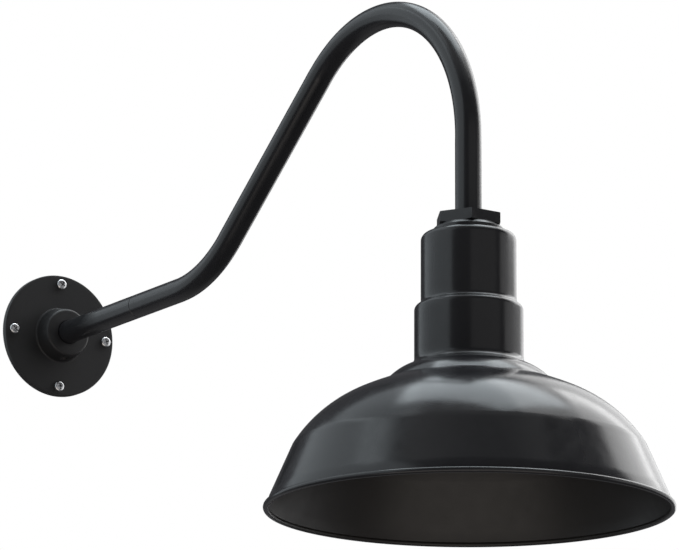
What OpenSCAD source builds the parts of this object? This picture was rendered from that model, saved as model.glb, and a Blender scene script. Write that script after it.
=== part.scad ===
// Gooseneck barn light for an outside wall.
// The origin is the centre of the wall flange's back and the wall is the plane y = 0.
// +Z is up and the arm runs out along -Y. Heights inside the lamp head are
// measured upwards from the rim plane of the shade.

/* [Wall flange] */
// Diameter of the wall flange
flange_d = 127; // [122:1:150]
// Thickness of the flange plate
flange_t = 6.5; // [5:0.1:8]
// Thickness of the rubber gasket let into the plate's back
gasket_t = 1.6; // [1:0.1:2.5]
// Diameter of the circle through the mounting screws
screw_pcd = 108; // [96:1:112]
// Diameter of a mounting screw's shank
screw_d = 5.5; // [4:0.1:6]
// Length of a mounting screw below its head
screw_len = 19; // [13:1:50]
// Diameter of the hub where it leaves the plate
hub_base_d = 54.6; // [48:0.2:60]
// Diameter of the hub just behind its rounded front edge
hub_face_d = 49.6; // [44:0.2:54]
// Distance from the wall to the hub's front face
hub_reach = 25; // [22:0.5:35]

/* [Arm] */
// Outer diameter of the arm tube
tube_d = 23.5; // [21:0.1:26]
// Wall thickness of the arm tube
tube_wall = 1.7; // [1.2:0.1:2.5]
// Distance from the wall to the joint between stub and gooseneck
seam_at = 165; // [120:1:200]
// Distance from the wall to the start of the first bend
arm_run = 243.8; // [225:0.2:300]
// Radius of both bends along the tube's centre line
bend_r = 146.4; // [120:0.2:170]
// Slope of the rising stretch above the horizontal
rise_angle = 38.6; // [30:0.2:50]
// Length of the straight rising stretch
rise_len = 199.8; // [120:0.2:260]

/* [Shade] */
// Diameter of the shade over its rolled rim
shade_d = 355.6; // [350:0.2:362]
// Thickness of the spun sheet
shade_t = 1.2; // [0.8:0.1:1.6]
// Drop from the arm's horizontal run to the rim plane
rim_drop = 294; // [280:1:320]
// Diameter of the lower neck
neck_d = 95.3; // [93:0.1:98]
// Diameter of the upper neck
neck_top_d = 83.8; // [81:0.1:86]
// Height of the neck's flat top above the rim plane
neck_h = 246; // [240:0.5:255]

/* [Head fittings] */
// Width of the hex nut across its flats
hex_af = 53; // [46:0.2:58]
// Height of the hex nut's flats
hex_h = 10; // [8:0.2:14]
// Diameter of the sealing washer on the neck
washer_d = 61; // [50:1:66]

/* [Lamp] */
// Largest diameter of the glass bulb
bulb_d = 60; // [55:1:64]
// Overall length of the bulb with its base
bulb_len = 110; // [106:1:114]

/* [Hidden] */

$fn = 96;

// Paint and metal colours
cast_black = [0.07, 0.07, 0.075];
satin_black = [0.11, 0.115, 0.12];
zinc = [0.78, 0.79, 0.8];
steel = [0.6, 0.61, 0.62];
brass = [0.82, 0.66, 0.36];
porcelain = [0.93, 0.92, 0.88];
rubber_black = [0.05, 0.05, 0.05];

// Arm: the stub turns in the hub's socket with a close running clearance
tube_r = tube_d / 2;
tube_bore_r = tube_r - tube_wall;
running_gap = 0.05;
hub_bore_r = tube_r + running_gap;
stub_stop = 8;
stub_foot = stub_stop + 0.3;
seam_chamfer = 0.5;
wire_hole_r = tube_bore_r;
set_screw_at = 15.5;
set_screw_r = 3;
gasket_r = flange_d / 2 - 4;
gap = 0.3;

// Arm: the bends are a hair thinner than the straight runs and enter them a little,
// so that the tube joins up as one clean solid
lap_angle = 0.5;
shy = 0.1;
snug = 0.02;

// Arm: where the bends begin and end, as [distance from the wall, height]
rise_start = [arm_run + bend_r * sin(rise_angle), bend_r * (1 - cos(rise_angle))];
rise_end = rise_start + rise_len * [cos(rise_angle), sin(rise_angle)];
top_centre = rise_end + bend_r * [sin(rise_angle), -cos(rise_angle)];
reach = top_centre[0] + bend_r;

// Shade outline: straight skirt, two dome arcs, a rounded collar and a stepped neck
bead_r = 2.5;
bead_at = [shade_d / 2 - bead_r, 2];
skin_in_bead = 0.25;
skirt_foot = [shade_d / 2 - 5, 10.2];
skirt_top = [shade_d / 2 - 24.4, 55];
skirt_lean = 1.09;
dome_r = 121;
dome_centre = skirt_top - [dome_r * cos(31.8), dome_r * sin(31.8)];
crown_r = 290;
crown_from = 65.4;
crown_centre = dome_centre - (crown_r - dome_r) * [cos(crown_from), sin(crown_from)];
collar_r = 46.6;
collar_slope = 20;
collar_fillet_r = 8;
collar_fillet = [neck_d / 2 + collar_fillet_r, 134.3];
collar_centre = collar_fillet
    - (collar_fillet_r + collar_r) * [sin(collar_slope), cos(collar_slope)];
crown_to = meet_angle(crown_centre, crown_r, collar_centre, collar_r, -1);
collar_from = meet_angle(collar_centre, collar_r, crown_centre, crown_r, 1);
step_angle = 64;
step_low = 177;
step_r = (neck_d - neck_top_d) / (4 * (1 - cos(step_angle)));
step_high = step_low + 2 * step_r * sin(step_angle);
shoulder_r = 6;

// Head: stack of fittings on the end of the arm, heights above the rim plane
tube_end = 222;
washer_t = 1.5;
nut_collar_h = 5.4;
nut_collar_r = 31;
nut_bevel = 2.7;
bracket_t = 1.5;
bracket_top = neck_h - shade_t;
lock_washer_t = 1.2;
lock_washer_top = bracket_top - bracket_t;
locknut_h = 7;
locknut_top = lock_washer_top - lock_washer_t;
bracket_w = 18;
bracket_half = 30;
bracket_plate_r = 21;

// Socket and bulb, heights above the rim plane
socket_top = 204;
socket_flange_h = 12;
socket_mouth = 146;
socket_r = 20.5;
socket_flange_r = 27;
socket_bore_r = 14.9;
socket_floor = 184;
shell_r = 14.7;
shell_wall = 0.5;
shell_foot = 149;
shell_hole_r = 6;
rivet_at = 8;
rivet_r = 1.2;
bracket_screw_at = 21.5;
terminal_at = 15;
terminal_head_r = 3.6;
bulb_top = 178.5;
bulb_foot = bulb_top - bulb_len;
base_r = 13.1;
base_wall = 0.3;
base_foot = bulb_top - 26.5;
base_top = bulb_top - 3.2;
glass_t = 0.8;
glass_neck_r = base_r - base_wall;
glass_top = base_foot + 8;
waist_r = 40;
stem_h = 30;
lead_r = 1.5;
lead_sides = 8;

// Points along an arc about c from angle a to angle b
function arc(c, r, a, b, n = 12) =
    [for (i = [0:n]) c + r * [cos(a + (b - a) * i / n), sin(a + (b - a) * i / n)]];

function reversed(list) = [for (i = [len(list) - 1:-1:0]) list[i]];

// Angle on the circle of radius r about c at which it meets another circle; side is
// 1 or -1 and picks one of the two crossings
function meet_angle(c, r, other, other_r, side) =
    let (line = other - c, along = (r * r + line * line - other_r * other_r) / (2 * norm(line)))
        atan2(line[1], line[0]) + side * acos(along / r);

// The shade's skin from the rim to the neck's top hole, moved inwards by d
function shade_skin(d) = concat(
    [[bead_at[0] - skin_in_bead - d, bead_at[1]], skirt_foot - [d * skirt_lean, 0]],
    arc(dome_centre, dome_r - d, 31.8, crown_from, 18),
    arc(crown_centre, crown_r - d, crown_from, crown_to, 8),
    arc(collar_centre, collar_r - d, collar_from, 90 - collar_slope, 8),
    arc(collar_fillet, collar_fillet_r + d, 270 - collar_slope, 180, 10),
    arc([neck_d / 2 - step_r, step_low], step_r - d, 0, step_angle, 8),
    arc([neck_top_d / 2 + step_r, step_high], step_r + d, 180 + step_angle, 180, 8),
    arc([neck_top_d / 2 - shoulder_r, neck_h - shoulder_r], shoulder_r - d, 0, 90, 10),
    [[tube_r + gap, neck_h - d]]);

// Stands a shape drawn along +Z out of the wall, towards -Y
module off_wall(distance = 0) {
    translate([0, -distance, 0])
        rotate([90, 0, 0])
            children();
}

// Places a shape on the lamp's axis, at a height above the rim plane
module at_head(height = 0) {
    translate([0, -reach, height - rim_drop])
        children();
}

// Repeats a shape at the four mounting screws
module at_screws() {
    for (angle = [0:90:270])
        rotate(angle)
            translate([screw_pcd / 2, 0, 0])
                children();
}

// Flat ring between two radii
module ring(outer, inner) {
    difference() {
        circle(r = outer);
        circle(r = inner);
    }
}

// Hexagonal prism with its lower face chamfered, and its upper face by the height top
module chamfered_hex(af, height, top) {
    corner_r = af / 2 / cos(30);
    low_r = af / 2 + 0.5;
    chamfer = 0.9;
    intersection() {
        cylinder(r = corner_r, h = height, $fn = 6);
        rotate_extrude()
            polygon([[0, 0], [low_r, 0], [corner_r + 0.1, chamfer],
                [corner_r + 0.1, height - top], [corner_r + 0.1 - 2 * top, height],
                [0, height]]);
    }
}

// Domed screw head with a cross recess, seated at z = 0
module pan_head(head_r, head_h, recess_w, recess_l) {
    difference() {
        rotate_extrude($fn = 48)
            polygon(concat([[0, 0], [head_r, 0]],
                arc([head_r - head_h * 0.55, head_h * 0.45], head_h * 0.55, 0, 90, 6),
                [[0, head_h * 1.06]]));
        for (angle = [0, 90])
            rotate(angle)
                translate([-recess_l / 2, -recess_w / 2, head_h * 0.4])
                    cube([recess_l, recess_w, head_h]);
    }
}

module wall_flange() {
    edge = 0.6;
    root = 2;
    brow = 3;
    color(cast_black)
        off_wall()
            difference() {
                rotate_extrude()
                    polygon(concat(
                        [[wire_hole_r, gasket_t], [gasket_r + 0.1, gasket_t],
                            [gasket_r + 0.1, 0], [flange_d / 2, 0],
                            [flange_d / 2, flange_t - edge],
                            [flange_d / 2 - edge, flange_t]],
                        arc([hub_base_d / 2 + root, flange_t + root], root, 270, 185, 6),
                        arc([hub_face_d / 2 - brow, hub_reach - brow], brow, 8, 90, 8),
                        [[hub_bore_r + 1, hub_reach], [hub_bore_r, hub_reach - 1],
                            [hub_bore_r, stub_stop], [wire_hole_r, stub_stop]]));
                at_screws()
                    cylinder(r = screw_d / 2 + gap, h = 3 * flange_t, center = true);
                translate([0, 0, set_screw_at])
                    rotate([90, 0, 0])
                        cylinder(r = set_screw_r + 0.05, h = hub_base_d);
            }
}

module wall_gasket() {
    color(rubber_black)
        off_wall()
            linear_extrude(gasket_t)
                difference() {
                    circle(r = gasket_r);
                    circle(r = wire_hole_r + 8);
                    at_screws()
                        circle(d = screw_d + 0.6, $fn = 48);
                }
}

// Pan head screws. The shank is thinner through the flange, where it has no thread
module mounting_screws() {
    thread_r = screw_d / 2;
    shank_r = thread_r - 0.45;
    tip = 5;
    tip_r = 0.6;
    color(zinc)
        off_wall(flange_t)
            at_screws() {
                pan_head(5.4, 3.4, 1.3, 6.4);
                rotate_extrude($fn = 48)
                    polygon([[0, 0], [shank_r, 0], [shank_r, -flange_t],
                        [thread_r, -flange_t], [thread_r, tip - screw_len],
                        [tip_r, -screw_len], [0, -screw_len]]);
            }
}

module hub_set_screw() {
    length = 9;
    color(steel)
        translate([0, -set_screw_at, -(tube_r + gap + length)])
            difference() {
                cylinder(r = set_screw_r, h = length, $fn = 48);
                translate([0, 0, -1])
                    cylinder(r = 1.7, h = 4.5, $fn = 6);
            }
}

module arm_stub() {
    color(satin_black)
        off_wall()
            rotate_extrude()
                polygon([[tube_bore_r, stub_foot], [tube_r - 1, stub_foot],
                    [tube_r, stub_foot + 1], [tube_r, seam_at - seam_chamfer],
                    [tube_r - seam_chamfer, seam_at], [tube_bore_r, seam_at]]);
}

module arm_coupler() {
    half = 25;
    color(steel)
        off_wall(seam_at - half)
            linear_extrude(2 * half)
                ring(tube_bore_r - snug, tube_bore_r - 1.6);
}

module gooseneck_arm() {
    color(satin_black) {
        off_wall()
            rotate_extrude()
                polygon([[tube_bore_r, seam_at], [tube_r - seam_chamfer, seam_at],
                    [tube_r, seam_at + seam_chamfer], [tube_r, arm_run],
                    [tube_bore_r, arm_run]]);
        arm_bend([arm_run, bend_r], -rise_angle, 0);
        translate([0, -rise_start[0], rise_start[1]])
            rotate([90 - rise_angle, 0, 0])
                linear_extrude(rise_len)
                    ring(tube_r, tube_bore_r);
        arm_bend(top_centre, 180 - rise_angle, 270);
        at_head(tube_end)
            linear_extrude(rim_drop + top_centre[1] - tube_end)
                ring(tube_r, tube_bore_r);
    }
}

// Bend of the arm tube about a centre given as [distance from the wall, height],
// between two angles counted from straight below the centre
module arm_bend(centre, from, to) {
    translate([0, -centre[0], centre[1]])
        rotate([0, 90, 0])
            rotate(from - lap_angle)
                rotate_extrude(angle = to - from + 2 * lap_angle)
                    translate([bend_r, 0])
                        ring(tube_r - shy, tube_bore_r + shy);
}

module hex_nut() {
    color(satin_black)
        at_head(neck_h + washer_t)
            difference() {
                union() {
                    rotate_extrude()
                        polygon([[0, 0], [nut_collar_r, 0],
                            [nut_collar_r, nut_collar_h - nut_bevel],
                            [nut_collar_r - nut_bevel, nut_collar_h], [0, nut_collar_h]]);
                    translate([0, 0, nut_collar_h])
                        chamfered_hex(hex_af, hex_h, 0.3);
                }
                translate([0, 0, -1])
                    cylinder(r = tube_r + snug, h = nut_collar_h + hex_h + 2);
            }
}

module sealing_washer() {
    color(rubber_black)
        at_head(neck_h)
            linear_extrude(washer_t)
                ring(washer_d / 2, tube_r + gap);
}

module shade() {
    color(satin_black)
        at_head()
            rotate_extrude($fn = 180) {
                polygon(concat(shade_skin(0), reversed(shade_skin(shade_t))));
                translate(bead_at)
                    circle(r = bead_r, $fn = 48);
            }
}

// Steel strap: a plate under the neck's top and two legs down to the socket
module socket_bracket() {
    foot_in = bracket_screw_at - 4.5;
    leg_h = bracket_top - socket_top;
    color(steel)
        at_head(socket_top)
            difference() {
                union() {
                    translate([0, 0, leg_h - bracket_t])
                        cylinder(r = bracket_plate_r, h = bracket_t);
                    for (side = [0, 1])
                        mirror([side, 0, 0])
                            translate([0, bracket_w / 2, 0])
                                rotate([90, 0, 0])
                                    linear_extrude(bracket_w)
                                        polygon([[foot_in, 0], [bracket_half, 0],
                                            [bracket_half, leg_h], [tube_r, leg_h],
                                            [tube_r, leg_h - bracket_t],
                                            [bracket_half - bracket_t, leg_h - bracket_t],
                                            [bracket_half - bracket_t, bracket_t],
                                            [foot_in, bracket_t]]);
                }
                translate([0, 0, leg_h / 2])
                    cylinder(r = tube_r + gap, h = leg_h);
                for (side = [-1, 1])
                    translate([side * bracket_screw_at, 0, -1])
                        cylinder(r = 2.2, h = bracket_t + 2, $fn = 48);
                translate([bracket_half - 5, 0, leg_h / 2])
                    rotate([0, 90, 0])
                        cylinder(r = 2.1, h = 10, $fn = 48);
            }
}

module lock_washer() {
    color(zinc)
        at_head(lock_washer_top - lock_washer_t)
            linear_extrude(lock_washer_t)
                difference() {
                    circle(r = tube_r + 6);
                    circle(r = tube_r + gap);
                    for (tooth = [0:30:330])
                        rotate(tooth)
                            translate([tube_r + 6, 0])
                                circle(r = 1, $fn = 24);
                }
}

module inner_locknut() {
    color(zinc)
        at_head(locknut_top - locknut_h)
            difference() {
                chamfered_hex(36, locknut_h, 0.9);
                translate([0, 0, -1])
                    cylinder(r = tube_r + snug, h = locknut_h + 2);
            }
}

// Plastic bushing that keeps the leads off the tube's cut end
module wire_bushing() {
    lip = 2.5;
    plug = 9;
    color(rubber_black)
        at_head(tube_end - lip)
            rotate_extrude()
                polygon([[tube_bore_r - 2.2, 0], [tube_r, 0], [tube_r, lip],
                    [tube_bore_r - snug, lip], [tube_bore_r - snug, lip + plug],
                    [tube_bore_r - 1.4, lip + plug], [tube_bore_r - 1.4, lip]]);
}

module socket_body() {
    edge = 1.5;
    flange_foot = socket_top - socket_flange_h;
    color(porcelain)
        at_head()
            difference() {
                rotate_extrude()
                    polygon(concat(
                        [[0, socket_floor], [socket_bore_r, socket_floor],
                            [socket_bore_r, socket_mouth + edge],
                            [socket_bore_r + edge, socket_mouth]],
                        arc([socket_r - edge, socket_mouth + edge], edge, 270, 360, 4),
                        [[socket_r, flange_foot - 5], [socket_flange_r, flange_foot]],
                        arc([socket_flange_r - edge, socket_top - edge], edge, 0, 90, 4),
                        [[0, socket_top]]));
                for (side = [-1, 1]) {
                    translate([side * bracket_screw_at, 0, socket_top - 9])
                        cylinder(r = 2, h = 10, $fn = 48);
                    translate([0, side * terminal_at, socket_top - 7])
                        cylinder(r = 1.75, h = 8, $fn = 48);
                    translate([side * rivet_at, 0, socket_floor - 1])
                        cylinder(r = rivet_r + 0.05, h = 10, $fn = 48);
                }
            }
}

// Brass shell that the bulb screws into, with its closed end on the socket's floor
module screw_shell() {
    color(brass)
        at_head()
            difference() {
                rotate_extrude()
                    polygon([[shell_r - shell_wall, shell_foot], [shell_r, shell_foot],
                        [shell_r, socket_floor], [shell_hole_r, socket_floor],
                        [shell_hole_r, socket_floor - shell_wall],
                        [shell_r - shell_wall, socket_floor - shell_wall]]);
                for (side = [-1, 1])
                    translate([side * rivet_at, 0, socket_floor - 2])
                        cylinder(r = rivet_r + 0.05, h = 4, $fn = 48);
            }
}

module shell_rivets() {
    head_h = 1;
    color(brass)
        at_head(socket_floor - shell_wall)
            for (side = [-1, 1])
                translate([side * rivet_at, 0, 0]) {
                    cylinder(r = rivet_r, h = 8, $fn = 48);
                    translate([0, 0, -head_h])
                        cylinder(r1 = rivet_r + 0.2, r2 = rivet_r + 0.8, h = head_h, $fn = 48);
                }
}

// Springy strip that presses on the bulb's tip
module contact_spring() {
    strip_t = 0.5;
    width = 5;
    drop = socket_floor - bulb_top - 0.3;
    color(brass)
        at_head(socket_floor)
            translate([0, width / 2, 0])
                rotate([90, 0, 0])
                    linear_extrude(width)
                        polygon([[-5, 0], [-5, -strip_t], [-3.5, -strip_t], [0.5, -drop],
                            [3.5, -drop], [3.5, strip_t - drop], [1, strip_t - drop],
                            [-2.6, 0]]);
}

module terminal_screws() {
    color(brass)
        at_head(socket_top)
            for (side = [-1, 1])
                translate([0, side * terminal_at, 0]) {
                    pan_head(terminal_head_r, 2.4, 0.8, 4.4);
                    translate([0, 0, -6])
                        cylinder(r = 1.7, h = 6, $fn = 48);
                }
}

module bracket_screws() {
    color(zinc)
        at_head(socket_top + bracket_t)
            for (side = [-1, 1])
                translate([side * bracket_screw_at, 0, 0]) {
                    pan_head(3.9, 2.6, 0.9, 4.6);
                    translate([0, 0, -9])
                        cylinder(r = 1.95, h = 9, $fn = 48);
                }
}

module ground_screw() {
    color([0.15, 0.45, 0.22])
        at_head((socket_top + bracket_top) / 2)
            translate([bracket_half - bracket_t, 0, 0])
                rotate([0, -90, 0]) {
                    pan_head(4, 2.4, 0.9, 4.8);
                    translate([0, 0, -5])
                        cylinder(r = 2.05, h = 5, $fn = 48);
                }
}

// Centre line of the arm as [distance from the wall, height, slope], wall end first
function arm_path() = concat(
    [for (d = [2, 30, 70, 110, 150, 190, 220]) [d, 0, 0]],
    [for (i = [0:7]) let (a = rise_angle * i / 7)
        [arm_run + bend_r * sin(a), bend_r * (1 - cos(a)), a]],
    [for (i = [1:4]) let (p = rise_start + (rise_end - rise_start) * i / 5)
        [p[0], p[1], rise_angle]],
    [for (i = [0:20]) let (a = rise_angle - (90 + rise_angle) * i / 20)
        [top_centre[0] - bend_r * sin(a), top_centre[1] + bend_r * cos(a), a]],
    [for (z = [10, -20, -50, -68]) [reach, z, -90]]);

// Route of a lead beside the centre line, then freehand from the tube's end
// to its terminal; across is its offset along X, over its offset across the bend
function lead_route(across, over, tail) = concat(
    [for (p = arm_path()) [across, -p[0] + over * sin(p[2]), p[1] + over * cos(p[2])]],
    [for (t = tail) [t[0], t[1] - reach, t[2] - rim_drop]]);

function unit(v) = v / norm(v);

function tangent(path, i) =
    unit(path[min(i + 1, len(path) - 1)] - path[max(i - 1, 0)]);

// Round lead swept along a route as one closed surface
module lead(path) {
    last = len(path) - 1;
    points = [for (i = [0:last])
        let (t = tangent(path, i), u = unit(cross(t, [1, 0, 0])), v = cross(t, u))
            for (k = [0:lead_sides - 1])
                path[i] + lead_r * (u * cos(k * 360 / lead_sides)
                    + v * sin(k * 360 / lead_sides))];
    ring_faces = [for (i = [0:last - 1], k = [0:lead_sides - 1])
        let (a = i * lead_sides, next = (k + 1) % lead_sides)
            [a + k, a + next, a + lead_sides + next, a + lead_sides + k]];
    start_face = [for (k = [lead_sides - 1:-1:0]) k];
    end_face = [for (k = [0:lead_sides - 1]) last * lead_sides + k];
    polyhedron(points = points, faces = concat([start_face], ring_faces, [end_face]));
}

module lead_black() {
    color([0.06, 0.06, 0.06])
        lead(lead_route(-2.2, -3.6, [[-2.2, 4.2, 217], [-1.8, 6.2, 211.6],
            [-1.2, 8.6, 207.6], [-0.6, 11.2, 206.2]]));
}

module lead_white() {
    color([0.9, 0.9, 0.88])
        lead(lead_route(-2.2, 3.6, [[-2.2, -4.2, 217], [-1.8, -6.2, 211.6],
            [-1.2, -8.6, 207.6], [-0.6, -11.2, 206.2]]));
}

module lead_green() {
    color([0.1, 0.4, 0.18])
        lead(lead_route(4, 0, [[4.8, 0, 217], [7.4, 0, 213.4], [11.8, 0, 212],
            [16.4, 0, 212.8], [20.6, 0, 215.2], [23.8, 0, 218.2]]));
}

// Side of the bulb from its tip to its neck, moved inwards by d: a ball, a waist
// arc that is tangent to the ball and to the neck, and the straight neck
function glass_side(d) =
    let (ball = [0, bulb_foot + bulb_d / 2], x = glass_neck_r + waist_r,
        rise = sqrt(pow(bulb_d / 2 + waist_r, 2) - x * x), meet = atan2(rise, x))
    concat(
        arc(ball, bulb_d / 2 - d, -90, meet, 20),
        arc(ball + [x, rise], waist_r + d, 180 + meet, 180, 10),
        [[glass_neck_r - d, glass_top]]);

module bulb_glass() {
    color([0.95, 0.95, 0.92])
        at_head()
            rotate_extrude()
                polygon(concat(glass_side(0), reversed(glass_side(glass_t))));
}

module bulb_base() {
    color(steel)
        at_head()
            rotate_extrude()
                polygon([[base_r - base_wall, base_foot], [base_r, base_foot],
                    [base_r, base_top - 4], [base_r - 4.5, base_top],
                    [base_r - 4.5 - base_wall, base_top - base_wall],
                    [base_r - base_wall, base_top - 4 - base_wall]]);
}

module bulb_insulator() {
    color([0.06, 0.05, 0.05])
        at_head(base_top)
            rotate_extrude($fn = 48)
                polygon([[0, -0.4], [base_r - 4.9, -0.4], [base_r - 4.9, 0], [5, 2], [0, 2]]);
}

module bulb_contact() {
    color(steel)
        at_head(base_top + 2)
            rotate_extrude($fn = 48)
                polygon(concat([[0, 0]], arc([0, -2.2], 4.1, 32.5, 55, 4), [[0, 1.2]]));
}

// Glass rod with a flare that closes the bulb's neck
module bulb_stem() {
    rod_r = 2.2;
    rod_h = 16;
    flare_r = glass_neck_r - glass_t - 0.02;
    color([0.9, 0.92, 0.92])
        at_head(glass_top - stem_h)
            rotate_extrude($fn = 48)
                polygon([[0, 0], [rod_r, 0], [rod_r, rod_h], [flare_r, stem_h - 2],
                    [flare_r, stem_h], [0, stem_h]]);
}

// Filament, and the two wires that hold it and end just under the stem
module bulb_filament() {
    wire_r = 0.4;
    half = 9;
    lean = 28.2;
    drop = 14;
    color(steel)
        at_head(glass_top - stem_h - drop) {
            for (side = [-1, 1])
                translate([side * half, 0, 0])
                    rotate([0, -side * lean, 0])
                        cylinder(r = wire_r, h = (drop - 0.05) / cos(lean) - wire_r * tan(lean),
                            $fn = 24);
            translate([-half - 0.3, 0, 0])
                rotate([0, 90, 0])
                    cylinder(r = 0.6, h = 2 * half + 0.6, $fn = 24);
        }
}

wall_flange();
wall_gasket();
mounting_screws();
hub_set_screw();
arm_stub();
arm_coupler();
gooseneck_arm();
hex_nut();
sealing_washer();
shade();
socket_bracket();
lock_washer();
inner_locknut();
wire_bushing();
socket_body();
screw_shell();
shell_rivets();
contact_spring();
terminal_screws();
bracket_screws();
ground_screw();
lead_black();
lead_white();
lead_green();
bulb_glass();
bulb_base();
bulb_insulator();
bulb_contact();
bulb_stem();
bulb_filament();
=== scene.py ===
"""Looks of a gooseneck barn light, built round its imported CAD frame.

Shapes are drawn in mm, each in the local axes of its own placement, and become
metres when their mesh is made. Heights in the head are above the shade's rim plane.
"""

from math import acos, atan2, cos, degrees, pi, radians, sin, sqrt, tan

import bmesh
import bpy
from mathutils import Matrix, Vector


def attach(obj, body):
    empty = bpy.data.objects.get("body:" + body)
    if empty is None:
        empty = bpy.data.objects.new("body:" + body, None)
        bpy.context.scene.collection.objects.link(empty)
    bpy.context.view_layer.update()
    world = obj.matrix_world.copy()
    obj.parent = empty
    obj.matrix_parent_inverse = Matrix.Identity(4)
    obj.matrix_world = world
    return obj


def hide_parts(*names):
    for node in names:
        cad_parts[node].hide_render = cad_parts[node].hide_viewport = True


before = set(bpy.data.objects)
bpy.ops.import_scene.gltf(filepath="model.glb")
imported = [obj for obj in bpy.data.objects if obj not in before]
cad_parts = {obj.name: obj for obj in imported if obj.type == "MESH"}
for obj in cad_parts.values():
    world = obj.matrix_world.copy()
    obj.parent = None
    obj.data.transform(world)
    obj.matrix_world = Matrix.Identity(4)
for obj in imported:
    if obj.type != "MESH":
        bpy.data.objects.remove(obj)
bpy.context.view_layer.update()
scene = bpy.context.scene
scene.view_settings.view_transform = "Standard"

MM = 0.001
TAU = 2 * pi

# Sizes shared with the CAD model
FLANGE_R, FLANGE_T, GASKET_T, GASKET_R = 63.5, 6.5, 1.6, 59.5
SCREW_CIRCLE_R, SCREW_HOLE_R, SCREW_R, SHANK_R, SCREW_LEN = 54, 3.05, 2.75, 2.3, 19
HUB_REACH, SET_SCREW_AT = 25, 15.5
TUBE_R, BORE_R = 11.75, 10.05
SEAM, ARM_RUN, BEND_R, RISE, RISE_LEN = 165, 243.8, 146.4, 38.6, 199.8
RIM_DROP, NECK_TOP = 294, 246
SHADE_R, SHADE_T, WASHER_T, STRAP_T, TOOTH_WASHER_T = 177.8, 1.2, 1.5, 1.5, 1.2
TUBE_END, SOCKET_TOP, SOCKET_FLOOR = 222, 204, 184
STRAP_SCREW_AT, TERMINAL_AT, RIVET_AT, EARTH_SCREW_H = 21.5, 15, 8, 224.4
LAMP_PITCH = 3.63
BULB_TOP, BULB_FOOT, BULB_R, BASE_R = 178.5, 68.5, 30, 13.1
BASE_FOOT, BASE_TOP = 152, 175.3
GLASS_TOP = 160

rise = radians(RISE)
rise_start = Vector((ARM_RUN + BEND_R * sin(rise), BEND_R * (1 - cos(rise))))
rise_end = rise_start + RISE_LEN * Vector((cos(rise), sin(rise)))
top_centre = rise_end + BEND_R * Vector((sin(rise), -cos(rise)))
REACH = top_centre.x + BEND_R

# Placements: the lamp's axis, and the arm's axis out of the wall
ROW = Matrix.Identity(4)
HEAD = Matrix.Translation((0, -REACH * MM, -RIM_DROP * MM))
WALL = Matrix.Rotation(pi / 2, 4, "X")


# ---------------------------------------------------------------- shapes

def arc(centre, r, start, end, steps):
    """Points along an arc, angles in degrees."""
    turns = [radians(start + (end - start) * i / steps) for i in range(steps + 1)]
    return [(centre[0] + r * cos(a), centre[1] + r * sin(a)) for a in turns]


def along(a, b, steps):
    """Points on a straight line, without its first one."""
    return [tuple(Vector(a).lerp(Vector(b), i / steps)) for i in range(1, steps + 1)]


def skin(rows, loop=False, caps=False, slots=None):
    """Surface through rows of points. A row of one point is a pole, a loop joins its
    last row to its first, and slots gives each band of faces its material slot."""
    bm = bmesh.new()
    made = [[bm.verts.new(p) for p in row] for row in rows]
    bands = list(zip(made, made[1:])) + ([(made[-1], made[0])] if loop else [])
    for band, (low, high) in enumerate(bands):
        count = max(len(low), len(high))
        for k in range(count):
            a, b = low[k % len(low)], low[(k + 1) % len(low)]
            c, d = high[(k + 1) % len(high)], high[k % len(high)]
            corners = list(dict.fromkeys((a, b, c, d)))
            if len(corners) > 2:
                face = bm.faces.new(corners)
                face.material_index = slots[band] if slots else 0
    if caps:
        bm.faces.new(made[0])
        bm.faces.new(made[-1])
    bmesh.ops.recalc_face_normals(bm, faces=bm.faces)
    return bm


def lathe(profile, sides=96, loop=True, caps=False, slots=None):
    """A profile of (radius, height) turned about the local Z axis."""
    rows = []
    for r, h in profile:
        if r < 1e-6:
            rows.append([(0, 0, h)])
        else:
            rows.append([(r * cos(TAU * k / sides), r * sin(TAU * k / sides), h)
                         for k in range(sides)])
    return skin(rows, loop, caps, slots)


def sweep(path, radii, sides=48, loop=False, caps=True):
    """A round section along (point, across, over) stations, with a radius for each."""
    rows = [[p + r * (u * cos(TAU * k / sides) + v * sin(TAU * k / sides))
             for k in range(sides)] for (p, u, v), r in zip(path, radii)]
    return skin(rows, loop, caps)


def stations(points):
    """Stations for a sweep along points, each frame turned as little as possible."""
    points = [Vector(p) for p in points]
    found, across = [], Vector((1, 0, 0))
    for i, p in enumerate(points):
        t = (points[min(i + 1, len(points) - 1)] - points[max(i - 1, 0)]).normalized()
        across = (across - across.dot(t) * t).normalized()
        found.append((p, across, t.cross(across)))
    return found


def smooth_path(points, steps):
    """Catmull-Rom curve through points."""
    points = [Vector(p) for p in points]
    ends = [2 * points[0] - points[1]] + points + [2 * points[-1] - points[-2]]
    out = []
    for a, b, c, d in zip(ends, ends[1:], ends[2:], ends[3:]):
        for i in range(steps):
            t = i / steps
            out.append(0.5 * (2 * b + (c - a) * t + (2 * a - 5 * b + 4 * c - d) * t * t
                              + (3 * b - a - 3 * c + d) * t ** 3))
    return out + [points[-1]]


def thread(root, crest, pitch, low, high, sides=48, steps=10, runout=1.0, rounded=False):
    """Rows of a screw thread between two heights, with its ends running out to root."""
    count = max(2, round((high - low) / pitch * steps))
    rows = []
    for i in range(count + 1):
        h = low + (high - low) * i / count
        fade = min(1, (h - low) / runout, (high - h) / runout)
        row = []
        for k in range(sides):
            turn = (h / pitch - k / sides) % 1
            lift = (1 + cos(TAU * turn)) / 2 if rounded else max(0, 1 - 2.6 * abs(turn - 0.5))
            r = root + (crest - root) * max(0, fade) * lift
            row.append((r * cos(TAU * k / sides), r * sin(TAU * k / sides), h))
        rows.append(row)
    return rows


def ring_row(r, h, sides=48):
    return [(r * cos(TAU * k / sides), r * sin(TAU * k / sides), h) for k in range(sides)]


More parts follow.
